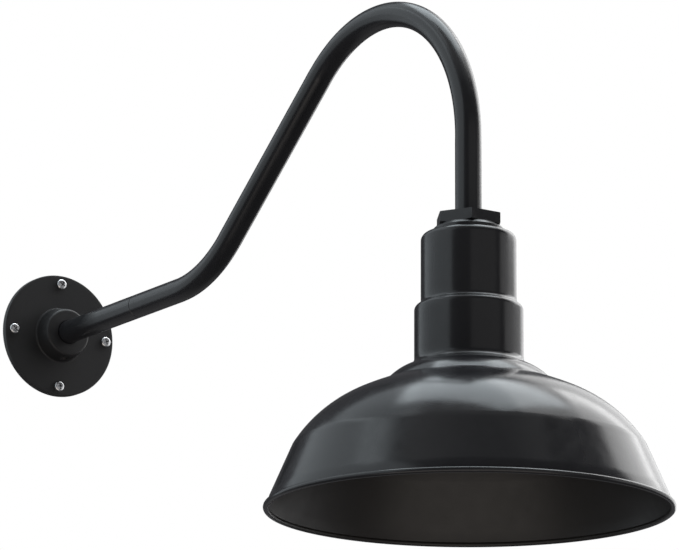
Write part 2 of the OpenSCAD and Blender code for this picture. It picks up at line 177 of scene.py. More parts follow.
def block(low, high, taper=0.0):
    """A box between two corners, its lower face drawn in by taper on every side."""
    bm = bmesh.new()
    corners = []
    for z, draw in ((low[2], taper), (high[2], 0)):
        x0, x1 = low[0] + draw, high[0] - draw
        y0, y1 = low[1] + draw, high[1] - draw
        corners.append([bm.verts.new(p) for p in
                        ((x0, y0, z), (x1, y0, z), (x1, y1, z), (x0, y1, z))])
    bm.faces.new(reversed(corners[0]))
    bm.faces.new(corners[1])
    for k in range(4):
        n = (k + 1) % 4
        bm.faces.new((corners[0][k], corners[0][n], corners[1][n], corners[1][k]))
    return bm


def extrude(flat, low, high):
    """A flat outline in XY raised between two heights."""
    return skin([[(x, y, z) for x, y in flat] for z in (low, high)], caps=True)


def circle(r, x=0.0, y=0.0, sides=48):
    return [(x + r * cos(TAU * k / sides), y + r * sin(TAU * k / sides)) for k in range(sides)]


def moved(bm, matrix):
    bmesh.ops.transform(bm, matrix=matrix, verts=bm.verts)
    return bm


def joined(*parts):
    """One mesh out of several closed surfaces."""
    out = bmesh.new()
    for part in parts:
        mesh = bpy.data.meshes.new("part")
        part.to_mesh(mesh)
        part.free()
        out.from_mesh(mesh)
        bpy.data.meshes.remove(mesh)
    return out


def with_modifier(bm, kind, settings, tool=None):
    """The mesh after one modifier, worked out and applied."""
    meshes, objects = [], []
    for source in (bm, tool):
        if source is None:
            continue
        mesh = bpy.data.meshes.new("work")
        source.to_mesh(mesh)
        source.free()
        obj = bpy.data.objects.new("work", mesh)
        scene.collection.objects.link(obj)
        meshes.append(mesh)
        objects.append(obj)
    modifier = objects[0].modifiers.new("work", kind)
    for key, value in settings.items():
        setattr(modifier, key, value)
    if tool is not None:
        modifier.object = objects[1]
    bpy.context.view_layer.update()
    result = objects[0].evaluated_get(bpy.context.evaluated_depsgraph_get())
    out = bmesh.new()
    out.from_mesh(result.to_mesh())
    result.to_mesh_clear()
    for obj in objects:
        bpy.data.objects.remove(obj)
    for mesh in meshes:
        bpy.data.meshes.remove(mesh)
    return out


def cut(bm, tool, operation="DIFFERENCE"):
    return with_modifier(bm, "BOOLEAN", {"operation": operation, "solver": "EXACT"}, tool)


def bevelled(bm, width, segments=2, angle=35):
    return with_modifier(bm, "BEVEL", {"width": width, "segments": segments,
                                       "limit_method": "ANGLE", "angle_limit": radians(angle)})


def piece(name, bm, place, body, slot, *nodes, look=None, crease=32):
    """Makes the object of a mesh, with its finish, its CAD body and the nodes it stands for."""
    bmesh.ops.transform(bm, matrix=Matrix.Scale(MM, 4), verts=bm.verts)
    bm.normal_update()
    for face in bm.faces:
        face.smooth = True
    for edge in bm.edges:
        edge.smooth = edge.calc_face_angle(pi) < radians(crease)
    mesh = bpy.data.meshes.new(name)
    bm.to_mesh(mesh)
    bm.free()
    for material in look or [LOOKS[slot]]:
        mesh.materials.append(material)
    obj = bpy.data.objects.new(name, mesh)
    scene.collection.objects.link(obj)
    obj.matrix_world = place
    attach(obj, body)
    if nodes:
        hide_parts(*nodes)
    return obj


# ---------------------------------------------------------------- finishes

class Look:
    """Builds one procedural finish out of noise in the object's own space."""

    def __init__(self, name, colour, rough, metal=0.0, **direct):
        self.material = bpy.data.materials.new(name)
        self.material.use_nodes = True
        self.tree = self.material.node_tree
        self.shader = self.tree.nodes["Principled BSDF"]
        self.shader.inputs["Metallic"].default_value = metal
        for key, value in direct.items():
            self.shader.inputs[key.replace("_", " ")].default_value = value
        self.colour, self.rough = colour, rough
        self.space = self.node("ShaderNodeTexCoord").outputs["Object"]
        self.heights = []

    def node(self, kind, **settings):
        made = self.tree.nodes.new(kind)
        for key, value in settings.items():
            setattr(made, key, value)
        return made

    def link(self, start, end):
        self.tree.links.new(start, end)

    def maths(self, operation, *values):
        made = self.node("ShaderNodeMath", operation=operation)
        for socket, value in zip(made.inputs, values):
            if isinstance(value, (int, float)):
                socket.default_value = value
            else:
                self.link(value, socket)
        return made.outputs[0]

    def noise(self, size_mm, detail=2.0, stretch=(1, 1, 1), space=None):
        """Noise whose blotches are about size_mm across."""
        mapping = self.node("ShaderNodeMapping")
        mapping.inputs["Scale"].default_value = stretch
        self.link(space or self.space, mapping.inputs["Vector"])
        made = self.node("ShaderNodeTexNoise")
        made.inputs["Scale"].default_value = 1 / (size_mm * MM)
        made.inputs["Detail"].default_value = detail
        self.link(mapping.outputs["Vector"], made.inputs["Vector"])
        return made.outputs["Fac"]

    def turned(self):
        """Space of (distance from the local Z axis, 0, height), for marks of a lathe."""
        split = self.node("ShaderNodeSeparateXYZ")
        self.link(self.space, split.inputs[0])
        x, y, z = split.outputs
        far = self.maths("SQRT", self.maths("ADD", self.maths("MULTIPLY", x, x),
                                            self.maths("MULTIPLY", y, y)))
        merge = self.node("ShaderNodeCombineXYZ")
        self.link(far, merge.inputs[0])
        self.link(z, merge.inputs[2])
        return merge.outputs[0]

    def spread(self, value, low, high):
        """Maps the middle of a noise onto low to high."""
        made = self.node("ShaderNodeMapRange")
        made.inputs["From Min"].default_value = 0.3
        made.inputs["From Max"].default_value = 0.7
        made.inputs["To Min"].default_value = low
        made.inputs["To Max"].default_value = high
        self.link(value, made.inputs["Value"])
        return made.outputs["Result"]

    def mix(self, factor, a, b):
        made = self.node("ShaderNodeMix", data_type="RGBA")
        for socket, value in ((made.inputs[0], factor), (made.inputs[6], a), (made.inputs[7], b)):
            if hasattr(value, "links"):
                self.link(value, socket)
            else:
                socket.default_value = value
        return made.outputs[2]

    def bump(self, height, depth_mm):
        self.heights.append((height, depth_mm * MM))

    def done(self, patch_mm, tint, rough_mm, rough_swing, wear=None, recess_shade=0):
        """Joins up colour, roughness, wear at edges, painted shade darkening recesses, and bump."""
        patch = self.noise(patch_mm, 3)
        dark = [c * (1 - tint) for c in self.colour] + [1]
        light = [min(1, c * (1 + tint)) for c in self.colour] + [1]
        colour = self.mix(self.spread(patch, 0, 1), dark, light)
        rough = self.spread(self.noise(rough_mm, 3), self.rough - rough_swing,
                            self.rough + rough_swing)
        if wear:
            worn_colour, amount = wear
            edge = self.node("ShaderNodeMapRange")
            edge.inputs["From Min"].default_value = 0.52
            edge.inputs["From Max"].default_value = 0.62
            self.link(self.node("ShaderNodeNewGeometry").outputs["Pointiness"],
                      edge.inputs["Value"])
            broken = self.maths("MULTIPLY", edge.outputs["Result"],
                                self.spread(self.noise(2.5, 3), 0, amount))
            colour = self.mix(broken, colour, [*worn_colour, 1])
            rough = self.maths("SUBTRACT", rough, self.maths("MULTIPLY", broken, 0.12))
        # Painted shade: hollows (low pointiness) are darkened towards near-black, standing in for
        # the shadow that falls in recesses such as screw cross slots.
        if recess_shade:
            hollow_shade = self.node("ShaderNodeMapRange")
            hollow_shade.inputs["From Min"].default_value = 0.48
            hollow_shade.inputs["From Max"].default_value = 0.4
            hollow_shade.inputs["To Max"].default_value = recess_shade
            self.link(self.node("ShaderNodeNewGeometry").outputs["Pointiness"],
                      hollow_shade.inputs["Value"])
            colour = self.mix(hollow_shade.outputs["Result"], colour, [0.02, 0.02, 0.02, 1])
        self.link(colour, self.shader.inputs["Base Color"])
        self.link(rough, self.shader.inputs["Roughness"])
        normal = None
        for height, depth in self.heights:
            made = self.node("ShaderNodeBump")
            made.inputs["Distance"].default_value = depth
            self.link(height, made.inputs["Height"])
            if normal:
                self.link(normal, made.inputs["Normal"])
            normal = made.outputs["Normal"]
        if normal:
            self.link(normal, self.shader.inputs["Normal"])
        return self.material


def powder_coat(name, colour, rough, peel, grain, spin=0.0, wear=0.5):
    """Black powder coat: orange peel, fine grain and, on spun sheet, faint rings."""
    look = Look(name, colour, rough)
    look.bump(look.noise(3.2, 1), peel)
    look.bump(look.noise(0.7, 2), grain)
    if spin:
        look.bump(look.noise(2.2, 3, space=look.turned()), spin)
    return look.done(45, 0.1, 12, 0.03, wear=([min(1, c * 3 + 0.01) for c in colour], wear))


# recess_shade sets how strongly hollows are darkened as painted shade.
def metal(name, colour, rough, grain_mm=1.2, depth=0.006, stretch=(1, 1, 1), tint=0.08, recess_shade=0):
    look = Look(name, colour, rough, 1.0)
    look.bump(look.noise(grain_mm, 3, stretch), depth)
    return look.done(6, tint, 3, 0.06, ([min(1, c * 1.15) for c in colour], 0.6), recess_shade)


def plastic(name, colour, rough, depth=0.01):
    look = Look(name, colour, rough)
    look.bump(look.noise(1.0, 3), depth)
    return look.done(8, 0.1, 4, 0.05)


def glazed():
    look = Look("porcelain", (0.84, 0.82, 0.76), 0.14, Coat_Weight=0.6, Coat_Roughness=0.05)
    look.bump(look.noise(6, 2), 0.03)
    speck = look.spread(look.noise(0.8, 2), -6, 1)
    material = look.done(12, 0.03, 7, 0.04)
    base = look.shader.inputs["Base Color"].links[0].from_socket
    tiny = look.mix(look.maths("MULTIPLY", look.maths("MAXIMUM", speck, 0), 0.35), base,
                    [0.5, 0.45, 0.38, 1])
    look.link(tiny, look.shader.inputs["Base Color"])
    return material


def frosted():
    look = Look("frosted_glass", (0.93, 0.925, 0.9), 0.3, Transmission_Weight=0.3,
                Coat_Weight=0.8, Coat_Roughness=0.04, IOR=1.5)
    look.bump(look.noise(0.5, 2), 0.004)
    return look.done(18, 0.03, 5, 0.06)


def clear():
    look = Look("clear_glass", (0.95, 0.97, 0.97), 0.04, Transmission_Weight=1.0, IOR=1.5)
    look.bump(look.noise(4, 1), 0.02)
    return look.done(10, 0.02, 5, 0.02)


BLACK = (0.0185, 0.0188, 0.0208)
LOOKS = {
    "cast_paint": powder_coat("cast_paint", (0.014, 0.014, 0.0148), 0.5, 0.05, 0.014, wear=0.4),
    "satin_paint": powder_coat("satin_paint", BLACK, 0.24, 0.004, 0.001, wear=0.35),
    # The zinc screws get painted shade in their cross recesses.
    "zinc": metal("zinc", (0.8, 0.81, 0.82), 0.24, 0.9, 0.006, recess_shade=0.95),
    "black_oxide": metal("black_oxide", (0.06, 0.06, 0.065), 0.42),
    "steel": metal("steel", (0.5, 0.5, 0.51), 0.36, 1.0, 0.008, (1, 1, 0.15)),
    "aluminium": metal("aluminium", (0.78, 0.78, 0.79), 0.28, 0.8, 0.006),
    "brass": metal("brass", (0.72, 0.53, 0.24), 0.27, 0.9, 0.006, tint=0.12),
    "porcelain": glazed(),
    "rubber": plastic("rubber", (0.018, 0.018, 0.018), 0.75, 0.02),
    "bushing": plastic("bushing", (0.02, 0.02, 0.021), 0.5),
    "green_screw": metal("green_screw", (0.07, 0.3, 0.1), 0.3, 0.9, 0.006),
    "black_wire": plastic("black_wire", (0.012, 0.012, 0.012), 0.42, 0.006),
    "white_wire": plastic("white_wire", (0.74, 0.73, 0.7), 0.4, 0.006),
    "green_wire": plastic("green_wire", (0.03, 0.2, 0.06), 0.42, 0.006),
    "frosted_glass": frosted(),
    "black_glass": plastic("black_glass", (0.015, 0.014, 0.014), 0.12, 0.02),
    "solder": metal("solder", (0.62, 0.62, 0.63), 0.38, 1.5, 0.05),
    "clear_glass": clear(),
    "tungsten": metal("tungsten", (0.32, 0.32, 0.33), 0.4),
}
SHADE_OUTSIDE = powder_coat("satin_paint_spun", BLACK, 0.2, 0.008, 0.001, spin=0.0025, wear=0.35)
SHADE_INSIDE = powder_coat("satin_paint_inside", (0.02, 0.0185, 0.017), 0.42, 0.012, 0.003,
                           spin=0.012, wear=0.3)
NUT_PAINT = powder_coat("satin_paint_turned", BLACK, 0.24, 0.008, 0.001, spin=0.008, wear=0.8)

# ---------------------------------------------------------------- wall flange

def screw_places(height):
    """Where the four mounting screws sit on the flange."""
    return [Matrix.Translation((SCREW_CIRCLE_R * cos(a), SCREW_CIRCLE_R * sin(a), height))
            for a in (0, pi / 2, pi, 3 * pi / 2)]


def flange():
    """Plate with a hub; root, brow and edge are the radii of its rounded corners."""
    edge, root, brow, bore = 0.9, 2, 3, TUBE_R + 0.05
    hub_foot_r, hub_r = 27.3, 24.8
    profile = [(BORE_R, GASKET_T), (GASKET_R + 0.1, GASKET_T), (GASKET_R + 0.1, 0)]
    profile += [(FLANGE_R - 0.4, 0), (FLANGE_R, 0.4)]
    profile += arc((FLANGE_R - edge, FLANGE_T - edge), edge, 0, 90, 5)
    profile += along(profile[-1], (hub_foot_r + 2.9, FLANGE_T), 10)
    profile += arc((hub_foot_r + root, FLANGE_T + root), root, 270, 185, 8)
    profile += along(profile[-1], (hub_r + 0.55, HUB_REACH - brow), 4)[:-1]
    profile += arc((hub_r - brow, HUB_REACH - brow), brow, 8, 90, 10)
    profile += [(bore + 1.4, HUB_REACH)]
    profile += arc((bore + 1, HUB_REACH - 1), 1, 90, 180, 4)
    profile += [(bore, 8), (BORE_R, 8)]
    body = lathe(profile, 144)
    for at in screw_places(0):
        hole = lathe([(SCREW_HOLE_R, -2), (SCREW_HOLE_R, 5.9), (3.6, 6.6), (3.6, 9)], 40,
                     loop=False, caps=True)
        body = cut(body, moved(hole, at))
    hole = lathe([(SCREW_HOLE_R, 0), (SCREW_HOLE_R, 23.8), (3.9, 25.2), (3.9, 40)], 40,
                 loop=False, caps=True)
    down = Matrix.Translation((0, 0, SET_SCREW_AT)) @ Matrix.Rotation(pi / 2, 4, "X")
    return cut(body, moved(hole, down))


def gasket():
    inner = 18.05
    seal = lathe([(inner, 0), (GASKET_R, 0), (GASKET_R, GASKET_T), (inner, GASKET_T)], 96)
    for at in screw_places(0):
        seal = cut(seal, moved(extrude(circle(SCREW_HOLE_R), -1, 3), at))
    return seal


def cross_cutter(length, width, top, depth, taper):
    """The two tapered slots of a cross recess."""
    low = top - depth
    one = block((-length / 2, -width / 2, low), (length / 2, width / 2, top), taper)
    two = block((-width / 2, -length / 2, low), (width / 2, length / 2, top), taper)
    return one, two


def pan_head(r, h, length, width, turn, sides=48):
    """Domed head with a cross recess, seated at height 0."""
    profile = [(0, 0), (r - 0.25, 0), (r, 0.25)]
    profile += arc((r - 0.55 * h, 0.45 * h), 0.55 * h, 0, 72, 8)
    tip, last = 1.06 * h, profile[-1]
    profile += [(last[0] * (1 - t), last[1] + (tip - last[1]) * (1 - (1 - t) ** 2))
                for t in (0.2, 0.4, 0.6, 0.8, 0.9, 1)]
    head = lathe(profile, sides, loop=False)
    spin = Matrix.Rotation(turn, 4, "Z")
    for tool in cross_cutter(length, width, 1.3 * h, 1.05 * h, width * 0.22):
        head = cut(head, moved(tool, spin))
    return head


def mounting_screw(turn):
    """Self-tapping screw, its shank plain through the flange and its tip drawn to a point."""
    root, pitch, tip_len = 1.95, 1.7, 4
    tip_from = SCREW_LEN - tip_len
    rows = [[(0, 0, 0)]] + [ring_row(SHANK_R, h) for h in (0, 1, 3, 5, FLANGE_T)]
    rows += thread(root, SCREW_R, pitch, FLANGE_T + 0.1, tip_from, runout=1.4)
    shrunk = []
    for row in thread(root, SCREW_R, pitch, tip_from, SCREW_LEN - 0.1, runout=0.01)[1:]:
        h = row[0][2]
        scale = max(0.12, (SCREW_LEN - h) / tip_len) ** 0.75
        shrunk.append([(x * scale, y * scale, z) for x, y, z in row])
    rows += shrunk + [[(0, 0, SCREW_LEN)]]
    shank = moved(skin(rows), Matrix.Rotation(pi, 4, "X"))
    return joined(pan_head(5.4, 3.4, 6.2, 1.35, turn), shank)


def mounting_screws():
    turns = (0.35, 1.05, 0.8, 0.15)
    return joined(*[moved(mounting_screw(turn), at)
                    for turn, at in zip(turns, screw_places(FLANGE_T))])


def set_screw():
    low, high = -21.05, -12.05
    rows = [[(0, 0, low)], ring_row(2.3, low)] + thread(2.5, 3, 1, low + 0.4, high - 0.6)
    rows += [ring_row(1.9, high), [(0, 0, high)]]
    socket = extrude(circle(1.75, sides=6), low - 1, low + 3.4)
    return cut(skin(rows), socket)


piece("flange_casting", flange(), WALL, "wall", "cast_paint", "wall_flange")
piece("gasket_ring", gasket(), WALL, "wall", "rubber", "wall_gasket")
piece("mounting_screw_set", mounting_screws(), WALL, "wall", "zinc", "mounting_screws")
piece("grub_screw", set_screw(), Matrix.Translation((0, -SET_SCREW_AT * MM, 0)), "wall",
      "black_oxide", "hub_set_screw")

# ---------------------------------------------------------------- arm

def gooseneck():
    """Tube with a wall, as one closed loop: out along its outside and back in its bore.
    Like the CAD's, its bends are 0.1 mm thinner."""
    line = [(d, 0.0, 0.0) for d in [SEAM + i * (ARM_RUN - SEAM) / 12 for i in range(13)]]
    for i in range(1, 41):
        a = rise * i / 40
        line.append((ARM_RUN + BEND_R * sin(a), BEND_R * (1 - cos(a)), a))
    for i in range(1, 24):
        p = rise_start.lerp(rise_end, i / 24)
        line.append((p.x, p.y, rise))
    for i in range(0, 131):
        a = rise - (pi / 2 + rise) * i / 130
        line.append((top_centre.x - BEND_R * sin(a), top_centre.y + BEND_R * cos(a), a))
    end = TUBE_END - RIM_DROP
    line += [(REACH, top_centre.y + (end - top_centre.y) * i / 16, -pi / 2)
             for i in range(1, 17)]
    path = [(Vector((0, -d, z)), Vector((1, 0, 0)), Vector((0, sin(a), cos(a))))
            for d, z, a in line]
    first, last = path[0], path[-1]

    def shifted(station, d, z):
        return (station[0] + Vector((0, -d, z)), station[1], station[2])

    outside = [shifted(first, 0, 0), shifted(first, 0.5, 0)] + path[1:-1]
    outside += [shifted(last, 0, 0.5), last]
    widths = [TUBE_R if a in (0, rise, -pi / 2) else TUBE_R - 0.1 for _, _, a in line[1:-1]]
    radii = [TUBE_R - 0.5, TUBE_R] + widths + [TUBE_R, TUBE_R - 0.5]
    inside = list(reversed(path))
    return sweep(outside + inside, radii + [BORE_R] * len(inside), 72, loop=True)


def stub():
    foot = 8.3
    profile = [(BORE_R, foot), (TUBE_R - 1, foot), (TUBE_R, foot + 1)]
    profile += along(profile[-1], (TUBE_R, SEAM - 0.5), 24)
    profile += [(TUBE_R - 0.5, SEAM), (BORE_R, SEAM)]
    profile += along(profile[-1], (BORE_R, foot), 20)[:-1]
    return lathe(profile, 72)


piece("arm_stub_tube", stub(), WALL, "arm", "satin_paint", "arm_stub")
piece("gooseneck_tube", gooseneck(), ROW, "arm", "satin_paint", "gooseneck_arm")

# ---------------------------------------------------------------- shade

def meet_angle(centre, r, other, other_r, side):
    """Angle on a circle at one of its two crossings with another circle."""
    line = Vector(other) - Vector(centre)
    along_line = (r * r + line.length_squared - other_r * other_r) / (2 * line.length)
    return degrees(atan2(line.y, line.x) + side * acos(along_line / r))


def outline(d):
    """The shade's skin from the skirt's foot to the neck's hole, moved inwards by d."""
    skirt_foot, skirt_top = (SHADE_R - 5, 10.2), (SHADE_R - 24.4, 55)
    dome_r, crown_r, dome_from, crown_from = 121, 290, 31.8, 65.4
    turn, split = radians(dome_from), radians(crown_from)
    dome = (skirt_top[0] - dome_r * cos(turn), skirt_top[1] - dome_r * sin(turn))
    crown = (dome[0] - (crown_r - dome_r) * cos(split), dome[1] - (crown_r - dome_r) * sin(split))
    collar_r, fillet_r, slope = 46.6, 8, 20
    lean, neck_r, top_r, shoulder = radians(slope), 47.65, 41.9, 6
    fillet, reach = (neck_r + fillet_r, 134.3), fillet_r + collar_r
    collar = (fillet[0] - reach * sin(lean), fillet[1] - reach * cos(lean))
    crown_to = meet_angle(crown, crown_r, collar, collar_r, -1)
    collar_from = meet_angle(collar, collar_r, crown, crown_r, 1)
    step, step_low = 64, 177
    step_r = (neck_r - top_r) / (2 * (1 - cos(radians(step))))
    step_high = step_low + 2 * step_r * sin(radians(step))
    points = along((SHADE_R - 2.75 - d, 2), (skirt_foot[0] - 1.09 * d, skirt_foot[1]), 1)
    dome_arc = arc(dome, dome_r - d, dome_from, crown_from, 40)
    points += along(points[-1], dome_arc[0], 12)[:-1] + dome_arc
    points += arc(crown, crown_r - d, crown_from, crown_to, 12)[1:]
    points += arc(collar, collar_r - d, collar_from, 90 - slope, 16)
    points += arc(fillet, fillet_r + d, 270 - slope, 180, 12)[1:]
    points += along(points[-1], (neck_r - d, step_low), 10)[:-1]
    points += arc((neck_r - step_r, step_low), step_r - d, 0, step, 8)
    points += arc((top_r + step_r, step_high), step_r + d, 180 + step, 180, 8)[1:]
    points += along(points[-1], (top_r - d, NECK_TOP - shoulder), 10)[:-1]
    points += arc((top_r - shoulder, NECK_TOP - shoulder), shoulder - d, 0, 90, 12)
    points += [(24, NECK_TOP - d), (TUBE_R + 0.3, NECK_TOP - d)]
    return points


def shade():
    """Spun shell with its rolled rim, as one closed profile. The inside's finish starts
    three quarters of the way round the rim."""
    bead_r, rim_steps, rim_outside = 2.5, 44, 33
    outer, inner = outline(0), outline(SHADE_T)
    rim = arc((SHADE_R - bead_r, 2), bead_r, 110.9, -220.1, rim_steps)
    profile = outer[::-1] + rim + inner
    bands = [0] * (len(outer) + rim_outside) + [1] * (len(inner) + rim_steps + 1 - rim_outside)
    return lathe(profile, 288, slots=bands)


piece("shade_shell", shade(), HEAD, "arm", "satin_paint", "shade",
      look=[SHADE_OUTSIDE, SHADE_INSIDE], crease=28)

# ---------------------------------------------------------------- nuts and washers

def hex_prism(across, low, high, chamfer_low, chamfer_high):
    """Hexagon of a size across its flats, with its corners turned off at both ends."""
    corner = across / 2 / cos(pi / 6)
    prism = extrude(circle(corner, sides=6), low, high)
    shape = lathe([(0, low), (across / 2 + 0.5, low), (corner + 0.1, low + chamfer_low),
                   (corner + 0.1, high - chamfer_high), (corner + 0.1 - 2 * chamfer_high, high),
                   (0, high)], 96, loop=False)
    return bevelled(cut(prism, shape, "INTERSECT"), 0.28, 2, 25)


def hex_nut():
    """Hexagon on a round collar, whose upper edge is bevelled."""
    low, collar_r, collar_h, bevel = NECK_TOP + WASHER_T, 31, 5.4, 2.7
    corner = low + 2.5
    collar = [(0, low), (collar_r - 0.3, low), (collar_r, low + 0.3), (collar_r, corner)]
    collar += arc((collar_r - 0.5, corner), 0.5, 0, 45, 3)[1:]
    collar += [(collar_r - bevel, low + collar_h), (0, low + collar_h + 0.05)]
    hexagon = hex_prism(53, low + collar_h - 0.05, low + 15.4, 0.9, 0.3)
    solid = cut(lathe(collar, 96, loop=False), hexagon, "UNION")
    bore = lathe([(TUBE_R + 0.02, low - 2), (TUBE_R + 0.02, low + 14.8), (TUBE_R + 0.7, low + 15.5),
                  (TUBE_R + 0.7, low + 20)], 96, loop=False, caps=True)
    return cut(solid, bore)


def locknut():
    top = NECK_TOP - SHADE_T - STRAP_T - TOOTH_WASHER_T
    solid = hex_prism(36, top - 7, top, 0.9, 0.9)
    return cut(solid, extrude(circle(TUBE_R + 0.02, sides=72), top - 10, top + 3))


def lock_washer():
    """Washer whose outer teeth are twisted, with a gap between each two."""
    middle = NECK_TOP - SHADE_T - STRAP_T - TOOTH_WASHER_T / 2
    inner, outer, gap_depth, teeth, sides = TUBE_R + 0.3, TUBE_R + 5.9, 1.6, 12, 144
    rows = [[], [], [], []]
    for k in range(sides):
        a = TAU * k / sides
        phase = (k * teeth / sides) % 1
        gap = max(0, 1 - 7 * phase, 1 - 7 * (1 - phase))
        r = outer - gap_depth * gap
        h = middle + 0.25 * (phase - 0.5) * (1 - gap)
        section = ((inner, middle + 0.4), (r, h + 0.34), (r, h - 0.34), (inner, middle - 0.4))
        for row, (far, high) in zip(rows, section):
            row.append((far * cos(a), far * sin(a), high))
    return skin(rows, loop=True)


def washer():
    low, r, inner = NECK_TOP, 30.5, TUBE_R + 0.3
    profile = [(inner, low), (r - 0.5, low)]
    profile += arc((r - 0.6, low + WASHER_T / 2), 0.6, -75, 75, 8)
    return lathe(profile + [(r - 0.5, low + WASHER_T), (inner, low + WASHER_T)], 96)


def bushing():
    low = TUBE_END - 2.5
    profile = [(BORE_R - 1.4, low + 11.5), (BORE_R - 1.4, low + 2.5)]
    profile += arc((BORE_R - 1.4, low + 1.25), 1.25, 180, 270, 6)
    profile += arc((TUBE_R - 0.8, low + 0.8), 0.8, 270, 360, 4)
    profile += [(TUBE_R, low + 2.5), (BORE_R - 0.02, low + 2.5), (BORE_R - 0.02, low + 11.5)]
    return lathe(profile, 72)


piece("neck_nut", hex_nut(), HEAD, "arm", "satin_paint", "hex_nut", look=[NUT_PAINT], crease=20)
piece("neck_washer", washer(), HEAD, "arm", "rubber", "sealing_washer")
piece("tooth_washer", lock_washer(), HEAD, "arm", "steel", "lock_washer")
piece("inner_nut", locknut(), HEAD, "arm", "steel", "inner_locknut", crease=20)
piece("lead_bushing", bushing(), HEAD, "arm", "bushing", "wire_bushing")

# ---------------------------------------------------------------- socket

def bracket():
    """Strap with rounded bends, a round top plate and its holes."""
    t, half, w, bend, plate_r = STRAP_T, 30, 9, 2.4, 21
    top, foot_in = NECK_TOP - SHADE_T, 17
    centre_low, centre_high = (half - bend, SOCKET_TOP + bend), (half - bend, top - bend)
    strap = [(foot_in, SOCKET_TOP)] + arc(centre_low, bend, 270, 360, 6)
    strap += arc(centre_high, bend, 0, 90, 6) + [(TUBE_R + 1, top), (TUBE_R + 1, top - t)]
    strap += arc(centre_high, bend - t, 90, 0, 6) + arc(centre_low, bend - t, 360, 270, 6)
    strap += [(foot_in, SOCKET_TOP + t)]
    solid = lathe([(0, top - t), (plate_r - 0.1, top - t), (plate_r, top - t + 0.1),
                   (plate_r, top - 0.1), (plate_r - 0.1, top), (0, top)], 96, loop=False)
    upright = Matrix.Rotation(pi / 2, 4, "X")
    for side in (1, -1):
        leg = moved(extrude([(side * x, h) for x, h in strap], -w, w), upright)
        bmesh.ops.recalc_face_normals(leg, faces=leg.faces)
        solid = cut(solid, leg, "UNION")
    tools = [extrude(circle(TUBE_R + 0.3, sides=72), top - 20, top + 3)]
    tools += [extrude(circle(2.2, x), SOCKET_TOP - 2, SOCKET_TOP + 4)
              for x in (-STRAP_SCREW_AT, STRAP_SCREW_AT)]
    sideways = Matrix.Translation((half, 0, EARTH_SCREW_H)) @ Matrix.Rotation(pi / 2, 4, "Y")
    tools.append(moved(extrude(circle(2.1), -4, 4), sideways))
    for tool in tools:
        solid = cut(solid, tool)
    return solid


def socket():
    """Porcelain body, turned upside down: its floor is at the top and its mouth below."""
    r, flange_r, bore, mouth = 20.5, 27, 14.9, 146
    foot = SOCKET_TOP - 12
    profile = [(0, SOCKET_FLOOR), (bore - 1, SOCKET_FLOOR)]
    profile += arc((bore - 1, SOCKET_FLOOR - 1), 1, 90, 0, 4)[1:]
    profile += along(profile[-1], (bore, mouth + 1.5), 8)[:-1]
    profile += arc((bore + 1.5, mouth + 1.5), 1.5, 180, 270, 6)
    profile += arc((r - 1.5, mouth + 1.5), 1.5, 270, 360, 8)
    profile += along(profile[-1], (r, foot - 6.2), 8)
    profile += arc((r + 3, foot - 6.2), 3, 180, 140, 4)[1:]
    profile += arc((flange_r - 1.5, foot + 1.6), 1.5, 310, 360, 5)
    profile += arc((flange_r - 1.5, SOCKET_TOP - 1.5), 1.5, 0, 90, 8) + [(0, SOCKET_TOP)]
    solid = lathe(profile, 96, loop=False)
    for side in (-1, 1):
        tools = [extrude(circle(2, side * STRAP_SCREW_AT), SOCKET_TOP - 9, SOCKET_TOP + 2),
                 extrude(circle(1.75, 0, side * TERMINAL_AT), SOCKET_TOP - 7, SOCKET_TOP + 2),
                 extrude(circle(1.25, side * RIVET_AT), SOCKET_FLOOR - 2, SOCKET_FLOOR + 9)]
        for tool in tools:
            solid = cut(solid, tool)
    return solid


def rolled(root, crest, wall, pitch, foot, top, closed_at):
    """Thin shell with a rolled thread; its top turns inwards to closed_at."""
    outer = thread(root, crest, pitch, foot + 0.6, top - 1.6, 72, 14, 1.6, rounded=True)
    sides = 72
    rows = [ring_row(crest - wall, foot, sides), ring_row(crest, foot, sides),
            ring_row(crest, foot + 0.3, sides)]
    rows += outer
    rows += [ring_row(root, top - 0.9, sides), ring_row(root - 0.35, top - 0.25, sides),
             ring_row(root - 1, top, sides), ring_row(closed_at, top, sides)]
    back = [[(x * (1 - wall / sqrt(x * x + y * y)), y * (1 - wall / sqrt(x * x + y * y)), z)
             for x, y, z in row] for row in reversed(outer)]
    rows += [ring_row(closed_at, top - wall, sides), ring_row(root - 1.2, top - wall, sides),
             ring_row(root - wall, top - 1.2, sides)]
    return skin(rows + back, loop=True)


def screw_shell():
    shell = rolled(13.6, 14.7, 0.45, LAMP_PITCH, 149, SOCKET_FLOOR, 6)
    for x in (-RIVET_AT, RIVET_AT):
        shell = cut(shell, extrude(circle(1.25, x, 0, 32), SOCKET_FLOOR - 3, SOCKET_FLOOR + 3))
    return shell


def strip(points, thickness, width):
    """Bent strip of even thickness in the XZ plane."""
    points = smooth_path([(x, 0, z) for x, z in points], 8)
    low, high = [], []
    for i, p in enumerate(points):
        t = (points[min(i + 1, len(points) - 1)] - points[max(i - 1, 0)]).normalized()
        n = Vector((-t.z, 0, t.x)) * thickness
        low.append(p)
        high.append(p + n)
    loop = low + high[::-1]
    rows = [[(p.x, y, p.z) for p in loop] for y in (-width / 2, width / 2)]
    return bevelled(skin(rows, caps=True), 0.12, 1, 50)


def spring():
    """Contact strip that runs from the socket's floor down to the bulb's tip."""
    foot, tip = SOCKET_FLOOR - 0.5, BULB_TOP + 0.3
    return strip([(-5, foot), (-3.2, foot), (-1.2, SOCKET_FLOOR - 2.2), (0.6, tip + 0.1),
                  (2, tip), (3.4, tip + 0.1)], 0.45, 5)


